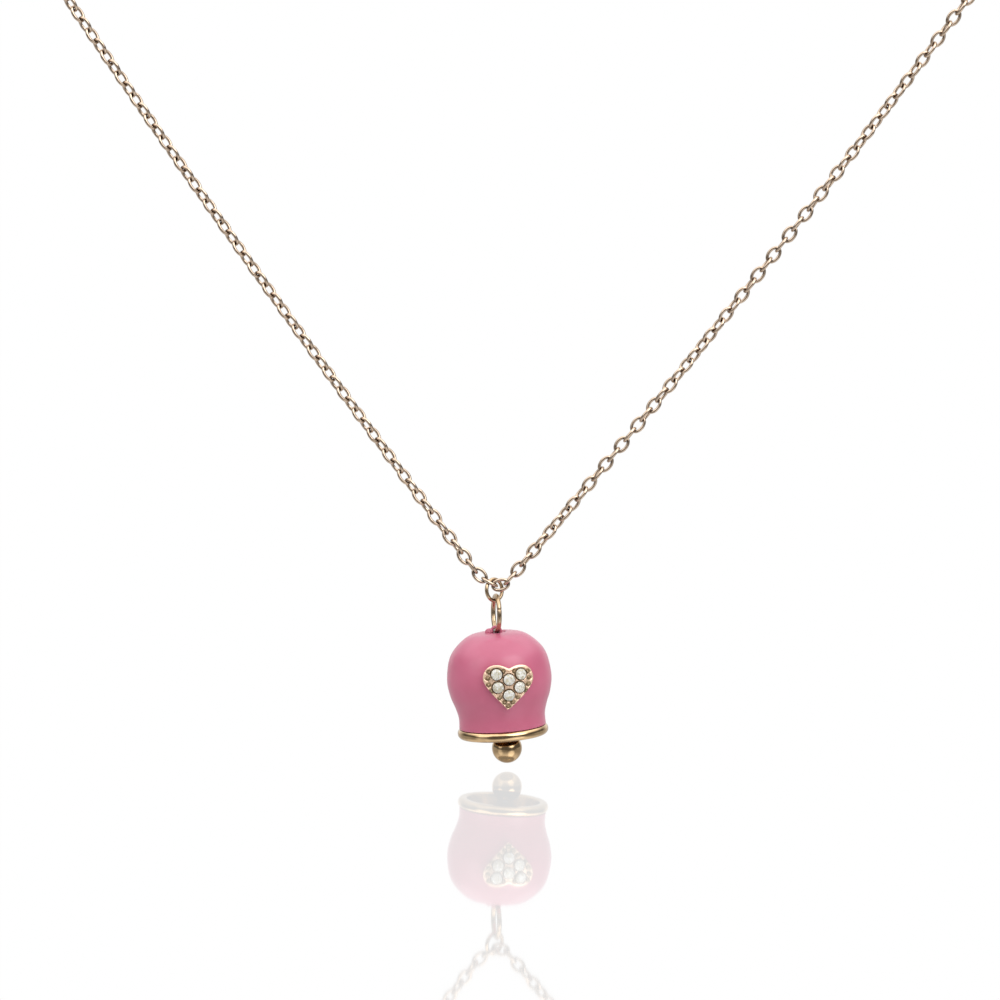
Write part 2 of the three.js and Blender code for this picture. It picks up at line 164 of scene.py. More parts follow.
class Nodes:
    """A short way to write a node tree: add(kind, attributes, {input: value or socket})."""

    def __init__(self, tree):
        self.tree = tree
        tree.nodes.clear()

    def add(self, kind, inputs=None, **attributes):
        node = self.tree.nodes.new(kind)
        for key, value in attributes.items():
            setattr(node, key, value)
        for key, value in (inputs or {}).items():
            self.set(node.inputs[key], value)
        return node

    def set(self, socket, value):
        if isinstance(value, bpy.types.NodeSocket):
            self.tree.links.new(value, socket)
        elif hasattr(socket.default_value, "__len__") and len(value) == 3 and socket.type == "RGBA":
            socket.default_value = (*value, 1.0)
        else:
            socket.default_value = value

    def math(self, operation, a, b):
        return self.add("ShaderNodeMath", {0: a, 1: b}, operation=operation).outputs[0]

    def smooth(self, value, low, high, out_low=0.0, out_high=1.0):
        node = self.add(
            "ShaderNodeMapRange",
            {"Value": value, "From Min": low, "From Max": high, "To Min": out_low, "To Max": out_high},
            interpolation_type="SMOOTHSTEP",
        )
        return node.outputs["Result"]

    def mix(self, factor, a, b):
        node = self.add("ShaderNodeMix", data_type="RGBA")
        self.set(node.inputs["Factor"], factor)
        self.set(node.inputs[6], a)
        self.set(node.inputs[7], b)
        return node.outputs[2]

    def noise(self, scale, detail=3.0, roughness=0.5):
        where = self.add("ShaderNodeTexCoord")
        node = self.add(
            "ShaderNodeTexNoise",
            {"Vector": where.outputs["Object"], "Scale": scale, "Detail": detail, "Roughness": roughness},
        )
        return node.outputs["Fac"]

    def bump(self, height, strength, distance):
        node = self.add("ShaderNodeBump", {"Height": height, "Strength": strength, "Distance": distance})
        return node.outputs["Normal"]


def new_material(name, build):
    material = bpy.data.materials.new(name)
    material.use_nodes = True
    nodes = Nodes(material.node_tree)
    shader = build(nodes)
    nodes.add("ShaderNodeOutputMaterial", {"Surface": shader})
    return material


# Materials -------------------------------------------------------------------------------------------


def plated_metal(bright, dark, roughness, recess):
    """Plated metal with handling marks and fine scratches, and painted shade in recesses and between touching
    parts: an ambient-occlusion mask darkens the colour there, varied a little at random by wear.
    """

    def build(n):
        occlusion = n.add("ShaderNodeAmbientOcclusion", {"Distance": recess}, samples=8)
        open_face = n.smooth(occlusion.outputs["AO"], 0.25, 0.85)
        wear = n.smooth(n.noise(900, 4, 0.6), 0.3, 0.75)
        # Painted shade: the colour goes towards the dark colour where the occlusion mask finds recesses and
        # touching parts, and a little at random with wear.
        painted_shade_mask = n.math("MULTIPLY", open_face, n.smooth(wear, 0, 1, 0.8, 1.0))
        colour = n.mix(painted_shade_mask, dark, bright)
        grain = n.noise(9000, 2, 0.6)
        rough = n.smooth(n.noise(2500, 3, 0.55), 0.3, 0.8, roughness * 0.8, roughness * 1.35)
        bump = n.bump(grain, 0.08, 0.00001)
        shader = n.add(
            "ShaderNodeBsdfPrincipled",
            {"Base Color": colour, "Metallic": 1.0, "Roughness": rough, "Normal": bump},
        )
        return shader.outputs[0]

    return build


def heart_metal(n):
    """The heart's pale plating, with painted shade round its stones and beads (a per-point mask) and in its
    recesses (an ambient-occlusion mask).
    """
    painted_shade_mask = n.add("ShaderNodeAttribute", attribute_name="painted_shade_mask")
    occlusion = n.add("ShaderNodeAmbientOcclusion", {"Distance": 0.00012}, samples=8)
    hidden = n.smooth(occlusion.outputs["AO"], 0.1, 0.5, 0.7, 0.0)
    amount = n.math("MAXIMUM", hidden, painted_shade_mask.outputs["Fac"])
    amount = n.math("MULTIPLY", amount, n.smooth(n.noise(2600, 3, 0.6), 0.2, 0.7, 0.85, 1.0))
    # The second colour is the painted shade.
    colour = n.mix(amount, (0.98, 0.7, 0.5), (0.1, 0.065, 0.012))
    rough = n.smooth(amount, 0, 1, 0.26, 0.45)
    bump = n.bump(n.noise(7000, 3, 0.6), 0.1, 0.00002)
    shader = n.add(
        "ShaderNodeBsdfPrincipled",
        {"Base Color": colour, "Metallic": 0.55, "Roughness": rough, "Normal": bump},
    )
    return shader.outputs[0]


def pink_enamel(n):
    """Thick poured enamel: a soft mottle in the colour, a slow ripple in the surface and a clear gloss."""
    cloud = n.smooth(n.noise(260, 3, 0.5), 0.3, 0.7)
    base = n.mix(cloud, (0.49, 0.115, 0.19), (0.53, 0.13, 0.215))
    ripple = n.bump(n.noise(420, 2, 0.4), 0.35, 0.00006)
    fine = n.add("ShaderNodeBump", {"Height": n.noise(6000, 2, 0.5), "Strength": 0.03, "Distance": 0.00001})
    n.set(fine.inputs["Normal"], ripple)
    shader = n.add(
        "ShaderNodeBsdfPrincipled",
        {
            "Base Color": base,
            "Roughness": 0.38,
            "IOR": 1.5,
            "Subsurface Weight": 0.08,
            "Subsurface Radius": (0.0009, 0.0004, 0.0005),
            "Specular IOR Level": 0.4,
            "Coat Weight": 0.3,
            "Coat Roughness": 0.15,
            "Normal": fine.outputs["Normal"],
        },
    )
    return shader.outputs[0]


def painted_facet_reflections(n, dull, bright):
    """Painted reflections: a different brightness for each small cell, standing in for facets that catch the
    light differently, with a darker line where two of them meet.
    """
    where = n.add("ShaderNodeTexCoord").outputs["Object"]
    cells = n.add("ShaderNodeTexVoronoi", {"Vector": where, "Scale": 4600.0})
    edges = n.add("ShaderNodeTexVoronoi", {"Vector": where, "Scale": 4600.0}, feature="DISTANCE_TO_EDGE")
    shade = n.add("ShaderNodeSeparateColor", {0: cells.outputs["Color"]}).outputs[0]
    open_face = n.smooth(edges.outputs["Distance"], 0.0, 0.12, 0.45, 1.0)
    return n.mix(n.math("MULTIPLY", n.smooth(shade, 0.1, 0.75), open_face), dull, bright)


def clear_stone(n):
    """The stone itself: bright cut glass, partly see-through, with painted facet reflections in its colour.
    """
    shader = n.add(
        "ShaderNodeBsdfPrincipled",
        {
            "Base Color": painted_facet_reflections(n, (0.66, 0.61, 0.46), (1.0, 1.0, 0.98)),
            "Roughness": 0.05,
            "IOR": 1.62,
            "Transmission Weight": 0.35,
        },
    )
    return shader.outputs[0]


def stone_foil(n):
    """The silvered back of a stone, a little yellowed, with painted facet reflections that make it look
    uneven.
    """
    colour = painted_facet_reflections(n, (0.75, 0.7, 0.5), (1.0, 0.99, 0.96))
    shader = n.add(
        "ShaderNodeBsdfPrincipled",
        {"Base Color": colour, "Metallic": 0.7, "Roughness": 0.35},
    )
    return shader.outputs[0]


# Each plating's second colour is its painted shade, put in recesses and between touching parts.
CHAIN = new_material("chain_plating", plated_metal((0.64, 0.5, 0.38), (0.06, 0.025, 0.015), 0.22, 0.0006))
LOOP = new_material("loop_plating", plated_metal((0.6, 0.44, 0.28), (0.08, 0.035, 0.02), 0.24, 0.0007))
GOLD = new_material("bell_plating", plated_metal((0.7, 0.49, 0.27), (0.09, 0.045, 0.02), 0.12, 0.0004))
HEART = new_material("heart_plating", heart_metal)
ENAMEL_PINK = new_material("pink_enamel", pink_enamel)
STONE = new_material("clear_stone", clear_stone)
FOIL = new_material("stone_foil", stone_foil)


# Mesh helpers ----------------------------------------------------------------------------------------


def add_piece(name, shape, placing, materials, body, smooth=True):
    """Adds the piece that stands for the CAD node of the same name.

    shape is (vertices in mm, faces) or (vertices, faces, material index of each face).
    """
    vertices, faces = shape[0], shape[1]
    mesh = bpy.data.meshes.new(name)
    scaled = placing @ Matrix.Scale(MM, 4)
    mesh.from_pydata([(scaled @ Vector(v))[:] for v in vertices], [], [tuple(f) for f in faces])
    for material in materials:
        mesh.materials.append(material)
    if len(shape) > 2:
        mesh.polygons.foreach_set("material_index", shape[2])
    mesh.polygons.foreach_set("use_smooth", [smooth] * len(mesh.polygons))
    mesh.update()
    piece = bpy.data.objects.new(name, mesh)
    bpy.context.scene.collection.objects.link(piece)
    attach(piece, body)
    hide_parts(name)
    return piece


def recalculate(piece):
    """Turns every face of a closed piece outwards."""
    mesh = bmesh.new()
    mesh.from_mesh(piece.data)
    bmesh.ops.recalc_face_normals(mesh, faces=mesh.faces)
    mesh.to_mesh(piece.data)
    mesh.free()


def joined(shapes):
    """Several (vertices, faces) as one."""
    vertices, faces = [], []
    for v, f in shapes:
        start = len(vertices)
        vertices.extend(v)
        faces.extend([tuple(i + start for i in face) for face in f])
    return vertices, faces


def moved(shape, matrix):
    return [matrix @ Vector(v) for v in shape[0]], shape[1]


def upright(shape):
    """A shape drawn in the XY plane, stood up in the XZ plane."""
    return moved(shape, Matrix.Rotation(math.pi / 2, 4, "X"))


def basis(x, y, z, origin):
    """The matrix that takes the axes to x, y and z and the origin to a point in metres."""
    turn = Matrix((x, y, z)).transposed().to_4x4()
    return Matrix.Translation(origin) @ turn


def grid_faces(rows, columns, wrap_rows=False, flip=False):
    """Four-sided faces between rows of vertices; each row closes on itself, and so can the rows."""
    faces = []
    for i in range(rows if wrap_rows else rows - 1):
        for j in range(columns):
            a = i * columns + j
            b = i * columns + (j + 1) % columns
            c = ((i + 1) % rows) * columns + (j + 1) % columns
            d = ((i + 1) % rows) * columns + j
            faces.append((d, c, b, a) if flip else (a, b, c, d))
    return faces


def wire_loop(long_radius, wide_radius, wire, around, sides, seam=0.0, gap=0.0, swell=0.0):
    """An oval loop of round wire in the XY plane, with X its long way.

    seam is the angle of a butt joint. With a gap the loop is left open there, and with a swell the wire
    is a little thicker there, as a soldered joint is.
    """
    open_loop = gap > 0
    half_gap = gap / (2 * long_radius)
    count = around + 1 if open_loop else around
    vertices = []
    for i in range(count):
        angle = seam + half_gap + (TAU - 2 * half_gap) * i / around
        centre = Vector((long_radius * math.cos(angle), wide_radius * math.sin(angle), 0))
        outwards = Vector((math.cos(angle) / long_radius, math.sin(angle) / wide_radius, 0)).normalized()
        apart = (angle - seam + math.pi) % TAU - math.pi
        radius = wire * (1 + swell * math.exp(-((apart / 0.16) ** 2)))
        if open_loop and i in (0, around):
            radius *= 0.93
        for j in range(sides):
            turn = TAU * j / sides
            offset = outwards * (radius * math.cos(turn)) + Vector((0, 0, radius * math.sin(turn)))
            vertices.append(centre + offset)
    faces = grid_faces(count, sides, wrap_rows=not open_loop, flip=True)
    if open_loop:
        faces.append(tuple(range(sides)))
        faces.append(tuple(reversed(range(around * sides, count * sides))))
    return vertices, faces


def turned(profile, segments):
    """A closed profile of (radius, height) pairs, anticlockwise, turned about Z; points on the axis merge."""
    vertices, rings = [], []
    for radius, height in profile:
        if radius < 1e-6:
            rings.append([len(vertices)] * segments)
            vertices.append(Vector((0, 0, height)))
        else:
            start = len(vertices)
            rings.append([start + j for j in range(segments)])
            for j in range(segments):
                angle = TAU * j / segments
                vertices.append(Vector((radius * math.cos(angle), radius * math.sin(angle), height)))
    faces = []
    closed = profile[0][0] > 1e-6
    for i in range(len(rings) if closed else len(rings) - 1):
        low, high = rings[i], rings[(i + 1) % len(rings)]
        for j in range(segments):
            k = (j + 1) % segments
            corners = []
            for index in (low[j], low[k], high[k], high[j]):
                if index not in corners:
                    corners.append(index)
            if len(corners) > 2:
                faces.append(tuple(corners))
    return vertices, faces


def spline(points, t):
    """A Catmull-Rom curve through the points, and its direction, at t from 0 to 1."""
    place = (len(points) - 1) * t
    i = min(int(place), len(points) - 2)
    w = place - i
    p0 = Vector(points[max(i - 1, 0)])
    p1 = Vector(points[i])
    p2 = Vector(points[i + 1])
    p3 = Vector(points[min(i + 2, len(points) - 1)])
    v0 = (p2 - p0) / 2
    v1 = (p3 - p1) / 2
    a = 2 * p1 - 2 * p2 + v0 + v1
    b = -3 * p1 + 3 * p2 - 2 * v0 - v1
    return ((a * w + b) * w + v0) * w + p1, (3 * a * w + 2 * b) * w + v0


def rounded(points, radius, steps):
    """The corner points of a profile with each sharp corner replaced by a small curve."""
    result = []
    count = len(points)
    for i in range(count):
        p = Vector(points[i])
        before = Vector(points[i - 1]) - p
        after = Vector(points[(i + 1) % count]) - p
        reach = min(radius, before.length * 0.45, after.length * 0.45)
        start = p + before.normalized() * reach
        end = p + after.normalized() * reach
        for k in range(steps + 1):
            t = k / steps
            result.append(((1 - t) ** 2 * start + 2 * t * (1 - t) * p + t**2 * end)[:])
    return result


def ball_shape(radius, seat=0.0):
    """A ball with a faint seam round its middle, cut flat where its top is seat wide."""
    profile = [(0, -radius)]
    steps = 90
    top = math.pi - math.asin(seat / radius)
    for i in range(1, steps):
        angle = -math.pi / 2 + top * i / (steps - 1)
        reach = radius - 0.004 * math.exp(-((angle / 0.02) ** 2))
        profile.append((reach * math.cos(angle), reach * math.sin(angle)))
    if seat > 0:
        profile.append((0, profile[-1][1]))
    return turned(profile, 120)


# Places taken from the CAD frame ---------------------------------------------------------------------

hinge_of = {j["child"]: j for j in frame["joints"]}
child_hinges = {}
for joint in frame["joints"]:
    child_hinges.setdefault(joint["parent"], []).append(joint)


def hinge_point(joint):
    return Vector(joint["pos_m"])


def hinge_axis(joint):
    return Vector(joint["axis"]).normalized()


def box_centre(node):
    low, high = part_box(node)
    return (low + high) / 2


def node_points(node):
    return [v.co.copy() for v in frame["nodes"][node].data.vertices]


# Chain -----------------------------------------------------------------------------------------------


def link_shape(number):
    """One link of the chain; each has its soldered joint somewhere else along its side."""
    seam = math.radians(90 + 25 * math.sin(2.4 * number)) + (math.pi if number % 3 == 0 else 0)
    wire = LINK_WIRE * (1 + 0.03 * math.sin(5.1 * number))
    return wire_loop(LINK_HALF_LENGTH, LINK_HALF_WIDTH, wire, 40, 14, seam=seam, swell=0.09)


def build_chain_body(body, start, end, first_number):
    """The links of one body, between its own hinge and the next one. Returns how many there are."""
    foot = hinge_point(start)
    reach = hinge_point(end) - foot
    along = reach.normalized()
    count = round((reach.length / MM - HINGED_PITCH) / JOINED_PITCH) + 1
    across = hinge_axis(start)
    across = (across - along * across.dot(along)).normalized()
    wanted = hinge_axis(end)
    wanted = (wanted - along * wanted.dot(along)).normalized()
    plain = Quaternion(along, count * math.pi / 2) @ across
    twist = math.atan2(plain.cross(wanted).dot(along), plain.dot(wanted))
    twist = (twist + math.pi / 2) % math.pi - math.pi / 2
    shapes = []
    for k in range(count):
        turn = (k + 1) * (math.pi / 2 + twist / count)
        width_way = Quaternion(along, turn) @ across
        tip = foot + along * (HINGED_PITCH + JOINED_PITCH * k) * MM
        centre = tip - along * LINK_HALF_LENGTH * MM
        placing = basis(along, width_way, along.cross(width_way), centre / MM)
        shapes.append(moved(link_shape(first_number + k), placing))
    add_piece(body, joined(shapes), Matrix(), [CHAIN], body)
    return count


def build_end_ring(body, joint):
    """The flat ring that ends a strand, with softened edges."""
    axis = hinge_axis(joint)
    centre = box_centre(body)
    along = (centre - hinge_point(joint)).normalized()
    shape = turned(rounded(END_RING, 0.07, 4), 64)
    placing = basis(along, axis.cross(along), axis, centre)
    add_piece(body, shape, placing, [CHAIN], body)


def build_strand(side):
    """Every body of one strand, from the centre link up to its end ring."""
    body = "centre_link"
    number = 1
    while True:
        start = next((j for j in child_hinges.get(body, []) if j["child"].startswith(side)), None)
        body = start["child"]
        if body.endswith("end_ring"):
            build_end_ring(body, start)
            return
        number += build_chain_body(body, start, child_hinges[body][0], number)


def build_centre_link():
    node = "centre_link"
    long_way = Vector((math.cos(CENTRE_TILT), 0, math.sin(CENTRE_TILT)))
    front = Vector((0, -1, 0))
    placing = basis(long_way, front.cross(long_way), front, box_centre(node))
    add_piece(node, link_shape(0), placing, [CHAIN], node)


build_strand("left")
build_strand("right")
build_centre_link()

# Rings above the bell --------------------------------------------------------------------------------


def build_hanging_ring(node, radius, wire, seam, next_body):
    """A slightly open ring whose foot carries the hinge of the next body."""
    joint = hinge_of[next_body]
    centre = box_centre(node)
    up = (centre - hinge_point(joint)).normalized()
    width = hinge_axis(joint)
    width = (width - up * width.dot(up)).normalized()
    shape = wire_loop(radius, radius, wire, 96, 18, seam=seam, gap=RING_GAP)
    placing = basis(width, up, width.cross(up), centre)
    add_piece(node, shape, placing, [LOOP], node)


build_hanging_ring("connector_ring", CONNECTOR_RADIUS, CONNECTOR_WIRE, 0.5, "bail_ring")
build_hanging_ring("bail_ring", BAIL_RADIUS, BAIL_WIRE, math.pi - 0.35, "bell")

# Bell ------------------------------------------------------------------------------------------------

# The bell's own frame, from its two hinge axes; its height comes from the top of the enamel.
bell_x = hinge_axis(hinge_of["clapper_ring"])
bell_y = hinge_axis(hinge_of["bell"])
bell_z = bell_x.cross(bell_y)
on_axis = hinge_point(hinge_of["clapper_ring"])
crown = max(p.dot(bell_z) for p in node_points("enamel_coat"))
bell_origin = on_axis + bell_z * (crown - on_axis.dot(bell_z) - CROWN_LEVEL * MM)
BELL = basis(bell_x, bell_y, bell_z, bell_origin)


def side_at(offset, steps=72):
    """The bell's side moved outwards along its normal, as (radius, height) from crown to rim."""
    result = []
    for i in range(steps + 1):
        point, way = spline(BELL_SIDE, i / steps)
        way.normalize()
        result.append((point.x - way.y * offset, point.y + way.x * offset))
    return result


def build_enamel():
    outside = side_at(0)
    inside = side_at(-ENAMEL)
    lip = [(CROWN_HOLE, -0.11), (1.02, -0.085), (1.06, -0.06), (1.12, -0.042)]
    foot = RIM_TOP + GAP
    widest = outside[-1][0]
    edge = [(widest, foot + 0.06), (widest - 0.02, foot), (inside[-1][0], foot)]
    collar = [(CROWN_HOLE, inside[0][1])]
    profile = lip + outside[1:-1] + edge + inside[-2:0:-1] + collar
    shape = turned(list(reversed(profile)), 160)
    add_piece("enamel_coat", shape, BELL, [ENAMEL_PINK], "bell")


def build_casting():
    """The metal bell under the enamel, with its rounded rim band and open mouth."""
    crown_level = CROWN_LEVEL - ENAMEL - GAP
    outside = side_at(-ENAMEL - GAP)[2:-1]
    inside = list(reversed(side_at(-ENAMEL - GAP - WALL)[2:-2]))
    band = [
        (outside[-1][0], RIM_TOP),
        (4.62, RIM_TOP),
        (RIM_RADIUS, RIM_TOP - 0.3),
        (RIM_RADIUS - 0.01, RIM_BOTTOM + 0.3),
        (RIM_RADIUS - 0.26, RIM_BOTTOM),
        (MOUTH_RADIUS + 0.1, RIM_BOTTOM),
        (MOUTH_RADIUS, RIM_BOTTOM + 0.12),
        (MOUTH_RADIUS, RIM_TOP),
    ]
    soft = rounded(band, 0.2, 6)[7:-7]
    top = [(0, crown_level), (CROWN_HOLE, crown_level)]
    under = [(CROWN_HOLE, crown_level - WALL), (0, crown_level - WALL)]
    profile = top + outside + soft + inside + under
    shape = turned(list(reversed(profile)), 160)
    add_piece("bell_body", shape, BELL, [GOLD], "bell")


def smooth_union(piece, voxel, rounds):
    """Melts the overlapping shapes of a piece into one skin and evens it out."""
    bpy.context.view_layer.objects.active = piece
    remesh = piece.modifiers.new("melt", "REMESH")
    remesh.mode = "VOXEL"
    remesh.voxel_size = voxel * MM
    remesh.use_smooth_shade = True
    even = piece.modifiers.new("even", "SMOOTH")
    even.factor = 0.5
    even.iterations = rounds
    for modifier in ("melt", "even"):
        bpy.ops.object.modifier_apply(modifier=modifier)


def build_eyelet():
    """The enamelled loop on the crown, in a shallow dish, with a thick run of enamel at its left foot."""
    ring = upright(wire_loop(EYELET_RADIUS, EYELET_RADIUS, EYELET_WIRE, 48, 18))
    dish = [(0, -0.36), (0.985, -0.36), (0.985, -0.12), (0.8, -0.17), (0.55, -0.23), (0, -0.28)]
    run = moved(ball_shape(1.0), Matrix.Translation(RUN_CENTRE) @ Matrix.Diagonal((*RUN_RADII, 1)))
    shape = joined([ring, turned(dish, 64), run])
    piece = add_piece("top_eyelet", shape, BELL, [ENAMEL_PINK], "bell")
    smooth_union(piece, 0.03, 5)


build_enamel()
build_casting()
build_eyelet()

# Heart -----------------------------------------------------------------------------------------------


def on_front(x, z, offset):
    """The point and outward normal of the bell's front, raised by an offset, at the place (x, z)."""
    low, high = 0.0, 1.0
    for _ in range(30):
        middle = (low + high) / 2
        if spline(BELL_SIDE, middle)[0].y > z:
            low = middle
        else:
            high = middle
    point, way = spline(BELL_SIDE, low)
    way.normalize()
    turn = math.asin(x / point.x)
    normal = Vector((-way.y * math.sin(turn), way.y * math.cos(turn), way.x))
    return Vector((x, -point.x * math.cos(turn), z)) + normal * offset, normal


def on_heart(x, z, height):
    """The point and normal for a place of the heart before its turn."""
    middle = Vector(HEART_MIDDLE)
    place = middle + Matrix.Rotation(-HEART_TURN, 2) @ (Vector((x, z)) - middle)
    return on_front(place.x, place.y, height)


def bezier(a, b, c, d, steps):
    """Points of a cubic curve from a towards d, without d itself."""
    points = []
    for i in range(steps):
        t = i / steps
        s = 1 - t
        start = s**3 * Vector(a) + 3 * s * s * t * Vector(b)
        end = 3 * s * t * t * Vector(c) + t**3 * Vector(d)
        points.append(start + end)
    return points


def heart_outline(steps=44):
    """The heart's outline from the notch round the right lobe to the tip, then back up the left."""
    half = bezier(
        (0, HEART_NOTCH),
        (0.33, HEART_NOTCH + 0.1),
        (0.6, HEART_TOP),
        (HEART_LOBE_X, HEART_TOP),
        steps,
    )
    half += bezier(
        (HEART_LOBE_X, HEART_TOP),
        (1.97, HEART_TOP),
        (HEART_HALF_WIDTH, HEART_TOP - 0.6),
        (HEART_HALF_WIDTH, HEART_WIDEST),
        steps,
    )
    half += bezier(
        (HEART_HALF_WIDTH, HEART_WIDEST),
        (HEART_HALF_WIDTH, HEART_WIDEST - 0.8),
        (1.27, HEART_WIDEST - 1.9),
        (0.1, HEART_TIP + 0.03),
        steps,
    )
    tip = [Vector((0.1, HEART_TIP + 0.03)), Vector((0.0, HEART_TIP))]
    left = [Vector((-p.x, p.y)) for p in reversed((half + tip)[1:-1])]
    return half + tip + left


BEAD_PLACES = [(side * x, z) for x, z in BEADS for side in (1, -1)] + [TIP_BEAD]


def heart_relief(x, z, edge):
    """Height above the bell and darkness of the painted shade at (x, z), which lies edge inside the outline.
    """
    field = 0.42
    border = 0.24
    height = field
    if edge < border + 0.1:
        ramp = min(max((edge - border) / 0.1, 0), 1)
        height = HEART_THICKNESS + (field - HEART_THICKNESS) * ramp * ramp * (3 - 2 * ramp)
    roll = 0.11
    if edge < roll:
        height -= roll - math.sqrt(max(roll**2 - (roll - edge) ** 2, 0))
    # Painted shade: a dark ring round each bead as its shadow, dark sides on each bead with a lighter middle
    # as a painted highlight, and a dark seat round each stone.
    painted_shade_mask = 0.0
    for px, pz in BEAD_PLACES:
        far = math.hypot(x - px, z - pz)
        if far < BEAD_RADIUS + 0.1:
            if far < BEAD_RADIUS:
                height = max(field, height - 0.04) + 0.75 * math.sqrt(BEAD_RADIUS**2 - far**2) - 0.03
                painted_shade_mask = max(painted_shade_mask, 0.9 if far > 0.06 else 0.6)
            else:
                dip = (far - BEAD_RADIUS) / 0.1
                height = min(height, field - 0.05 + 0.12 * dip)
                painted_shade_mask = max(painted_shade_mask, 0.95 * (1 - dip))
    # The seat round each stone is darkened with painted shade.
    for sx, sz in STONES:
        far = math.hypot(x - sx, z - sz)
        if far < POCKET_RADIUS + 0.07:
            fall = min(max((POCKET_RADIUS + 0.07 - far) / 0.09, 0), 1)
            height = height + (0.12 - height) * fall * fall * (3 - 2 * fall)
            painted_shade_mask = max(painted_shade_mask, 0.85 * fall)
    return height, painted_shade_mask


def build_heart(rings=84):
    """The heart plate as rings of points that shrink from its outline to its middle, then its flat back."""
    outline = heart_outline()
    count = len(outline)
    middle = Vector(HEART_MIDDLE)
    edge_points = np.array([p[:] for p in outline])
    vertices, painted_shade_values = [], []
    for i in range(rings):
        share = (i + 1) / rings
        for p in outline:
            place = middle + (p - middle) * share
            gap = np.sqrt(((edge_points - np.array(place[:])) ** 2).sum(1)).min()
            height, painted_shade_mask = heart_relief(place.x, place.y, float(gap) if share < 1 else 0.0)
            vertices.append(on_heart(place.x, place.y, height)[0])
            painted_shade_values.append(painted_shade_mask)
    # The side wall darkens down to the enamel and the back is dark: painted shade of 0.6 where the plate
    # meets the bell.
    for p in outline:
        vertices.append(on_heart(p.x, p.y, GAP)[0])
        painted_shade_values.append(0.6)
    for p in outline:
        inner = middle + (p - middle) * 0.9
        vertices.append(on_heart(inner.x, inner.y, GAP)[0])
        painted_shade_values.append(0.6)
    faces = grid_faces(rings + 2, count)
    top = len(vertices)
    height, painted_shade_mask = heart_relief(middle.x, middle.y, 2.0)
    vertices.append(on_heart(middle.x, middle.y, height)[0])
    painted_shade_values.append(painted_shade_mask)
    vertices.append(on_heart(middle.x, middle.y, GAP)[0])
    painted_shade_values.append(0.6)
    last = (rings + 1) * count
    for j in range(count):
        k = (j + 1) % count
        faces.append((k, j, top))
        faces.append((last + j, last + k, top + 1))
    piece = add_piece("heart_plate", (vertices, faces), BELL, [HEART], "bell")
    attribute = piece.data.attributes.new("painted_shade_mask", "FLOAT", "POINT")
    attribute.data.foreach_set("value", painted_shade_values)
    recalculate(piece)


def brilliant():
    """A round brilliant: table, stars, kites and girdle above, mains below. Foil covers the back."""
    levels = [
        (8, 0.55, 0.2, 0.0),
        (8, 0.8, 0.125, 0.5),
        (16, 1.0, 0.03, 0.0),
        (16, 1.0, -0.03, 0.0),
        (8, 0.45, -0.26, 0.5),
    ]
    vertices, rings = [], []
    for count, share, height, shift in levels:
        rings.append([len(vertices) + k for k in range(count)])
        for k in range(count):
            angle = TAU * (k + shift) / count
            radius = share * STONE_RADIUS
            vertices.append(Vector((radius * math.cos(angle), radius * math.sin(angle), height)))
    culet = len(vertices)
    vertices.append(Vector((0, 0, -0.38)))
    table, kite, upper, lower, main = rings
    faces = [tuple(table)]
    for k in range(8):
        n = (k + 1) % 8
        faces.append((table[k], kite[k], table[n]))
        faces.append((table[k], kite[k - 1], upper[2 * k], kite[k]))
        faces.append((kite[k], upper[2 * k], upper[2 * k + 1]))
        faces.append((kite[k], upper[2 * k + 1], upper[(2 * k + 2) % 16]))
    for k in range(16):
        n = (k + 1) % 16
        faces.append((upper[k], lower[k], lower[n], upper[n]))
    clear = len(faces)
    for k in range(8):
        faces.append((lower[2 * k], main[k], lower[2 * k + 1]))
        faces.append((lower[2 * k + 1], main[k], lower[(2 * k + 2) % 16]))
        faces.append((lower[2 * k], main[k - 1], main[k]))
        faces.append((main[k - 1], culet, main[k]))
    return vertices, faces, [0] * clear + [1] * (len(faces) - clear)


def build_stones():
    """The six stones, each turned and nodded a little differently in its seat."""
    vertices, faces, kinds = brilliant()
    for i, (x, z) in enumerate(STONES):
        point, normal = on_heart(x, z, HEART_THICKNESS)
        stand = Vector((0, 0, 1)).rotation_difference(normal).to_matrix().to_4x4()
        spin = Matrix.Rotation(0.7 * i, 4, "Z")
        nod = Matrix.Rotation(math.radians(4), 4, Vector((math.cos(2.1 * i), math.sin(2.1 * i), 0)))
        placing = Matrix.Translation(point) @ stand @ nod @ spin
        shape = [placing @ v for v in vertices], faces, kinds
        materials = [STONE, FOIL]
        piece = add_piece(f"crystal_{i + 1}", shape, BELL, materials, "bell", smooth=False)
        recalculate(piece)


build_heart()
build_stones()

# Clapper ---------------------------------------------------------------------------------------------


def build_staple():
    """The loop inside the crown that carries the clapper."""
    foot = hinge_point(hinge_of["clapper_ring"])
    centre_level = (BELL.inverted() @ foot).z / MM + STAPLE_RADIUS
    ring = upright(wire_loop(STAPLE_RADIUS, STAPLE_RADIUS, STAPLE_WIRE, 48, 14))
    ring = moved(ring, Matrix.Translation((0, 0, centre_level)))
    high = CROWN_LEVEL - ENAMEL - GAP - WALL - GAP
    low = high - STAPLE_BASE_DEPTH
    edge = STAPLE_BASE_RADIUS
    plate = [(0, low), (edge - 0.04, low), (edge, low + 0.04), (edge, high), (0, high)]
    shape = joined([ring, turned(plate, 40)])
    piece = add_piece("clapper_staple", shape, BELL, [GOLD], "bell")
    smooth_union(piece, 0.03, 3)


def build_clapper_ring():
    node = "clapper_ring"
    radius = CLAPPER_RING_RADIUS
    shape = wire_loop(radius, radius, CLAPPER_RING_WIRE, 56, 14, seam=0.4, gap=0.02)
    placing = basis(bell_y, bell_z, bell_y.cross(bell_z), box_centre(node))
    add_piece(node, shape, placing, [GOLD], node)


